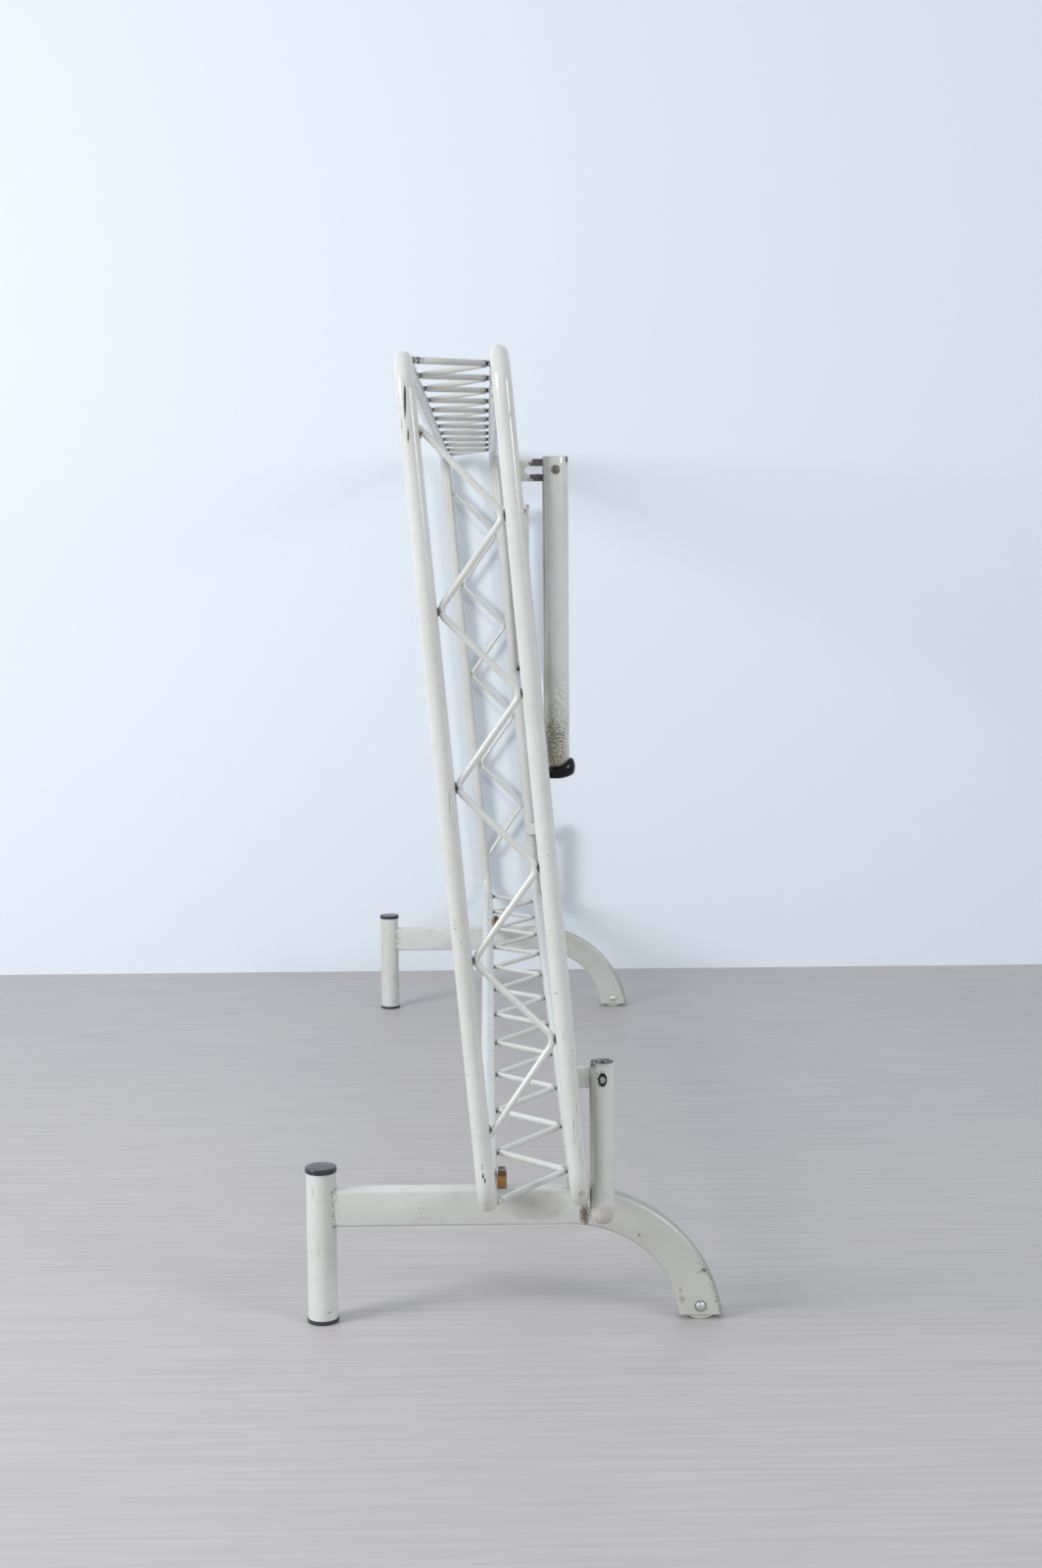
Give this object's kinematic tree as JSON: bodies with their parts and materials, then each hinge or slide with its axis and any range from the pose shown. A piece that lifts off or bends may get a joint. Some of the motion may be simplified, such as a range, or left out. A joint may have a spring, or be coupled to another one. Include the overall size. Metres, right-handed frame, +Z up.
{
  "type": "clothes drying rack",
  "caption": "Free-standing steel-tube drying rack: two leaning rectangular loops joined by zigzag rods, on two post-and-bar feet, with folding hanging arms at both ends.",
  "frame": {"origin": "on the floor, at the middle of the rack's footprint box", "axes": "+Z up; +Y along the loops, from the front end to the back end; +X across the feet, from the posts to the glides"},
  "size_m": [0.5108, 2.302, 1.1706],
  "materials": {
    "lacquer": "off-white gloss lacquer, scratched and chipped",
    "black_plastic": "moulded, blue-black, satin",
    "bare_steel": "dark bare steel with rust",
    "zinc_steel": "zinc plated, dull",
    "amber_plastic": "aged amber plastic",
    "pale_plastic": "pale nylon, worn"
  },
  "bodies": {
    "frame": {"left_loop_front": "lacquer", "right_loop_front": "lacquer", "end_rod_front": "lacquer", "left_loop_back": "lacquer", "right_loop_back": "lacquer", "end_rod_back": "lacquer", "bottom_rod": "lacquer", "top_rod": "lacquer", "foot_bar_front": "lacquer", "post_front": "lacquer", "foot_cap_front": "black_plastic", "top_cap_front": "black_plastic", "foot_rivet_front": "zinc_steel", "rail_clip_front": "amber_plastic", "clip_screw_front": "bare_steel", "rail_seat_front": "lacquer", "foot_bar_back": "lacquer", "post_back": "lacquer", "foot_cap_back": "black_plastic", "top_cap_back": "black_plastic", "foot_rivet_back": "zinc_steel", "rail_clip_back": "amber_plastic", "clip_screw_back": "bare_steel", "rail_seat_back": "lacquer", "bracket_upper_front": "lacquer", "bracket_lower_front": "lacquer", "pivot_pin_lower_front": "bare_steel", "pivot_nut_lower_front": "bare_steel", "bracket_upper_back": "lacquer", "bracket_lower_back": "lacquer", "pivot_pin_lower_back": "bare_steel", "pivot_nut_lower_back": "bare_steel", "glide_front": "pale_plastic", "glide_back": "pale_plastic"},
    "pin_upper_front": {"pivot_pin_upper_front": "bare_steel", "pivot_nut_upper_front": "bare_steel"},
    "arm_upper_front": {"arm_upper_front": "lacquer", "arm_tip_upper_front": "black_plastic"},
    "arm_lower_front": {"arm_lower_front": "lacquer"},
    "pin_upper_back": {"pivot_pin_upper_back": "bare_steel", "pivot_nut_upper_back": "bare_steel"},
    "arm_upper_back": {"arm_upper_back": "lacquer", "arm_tip_upper_back": "black_plastic"},
    "arm_lower_back": {"arm_lower_back": "lacquer"}
  },
  "joints": [
    {"name": "upper_slide_front", "type": "slide", "parent": "frame", "child": "pin_upper_front", "axis": [-1, 0, 0], "range_m": [0, 0.03]},
    {"name": "upper_swing_front", "type": "hinge", "parent": "pin_upper_front", "child": "arm_upper_front", "pos_m": [0.0514, -1.112, 1.03], "axis": [0, -1, 0], "range_deg": [0, 90]},
    {"name": "lower_swing_front", "type": "hinge", "parent": "frame", "child": "arm_lower_front", "pos_m": [0.1022, -1.112, 0.3296], "axis": [0, -1, 0], "range_deg": [0, 90]},
    {"name": "upper_slide_back", "type": "slide", "parent": "frame", "child": "pin_upper_back", "axis": [-1, 0, 0], "range_m": [0, 0.03]},
    {"name": "upper_swing_back", "type": "hinge", "parent": "pin_upper_back", "child": "arm_upper_back", "pos_m": [0.0514, 1.112, 1.03], "axis": [0, -1, 0], "range_deg": [0, 90]},
    {"name": "lower_swing_back", "type": "hinge", "parent": "frame", "child": "arm_lower_back", "pos_m": [0.1022, 1.112, 0.3296], "axis": [0, -1, 0], "range_deg": [0, 90]}
  ]
}
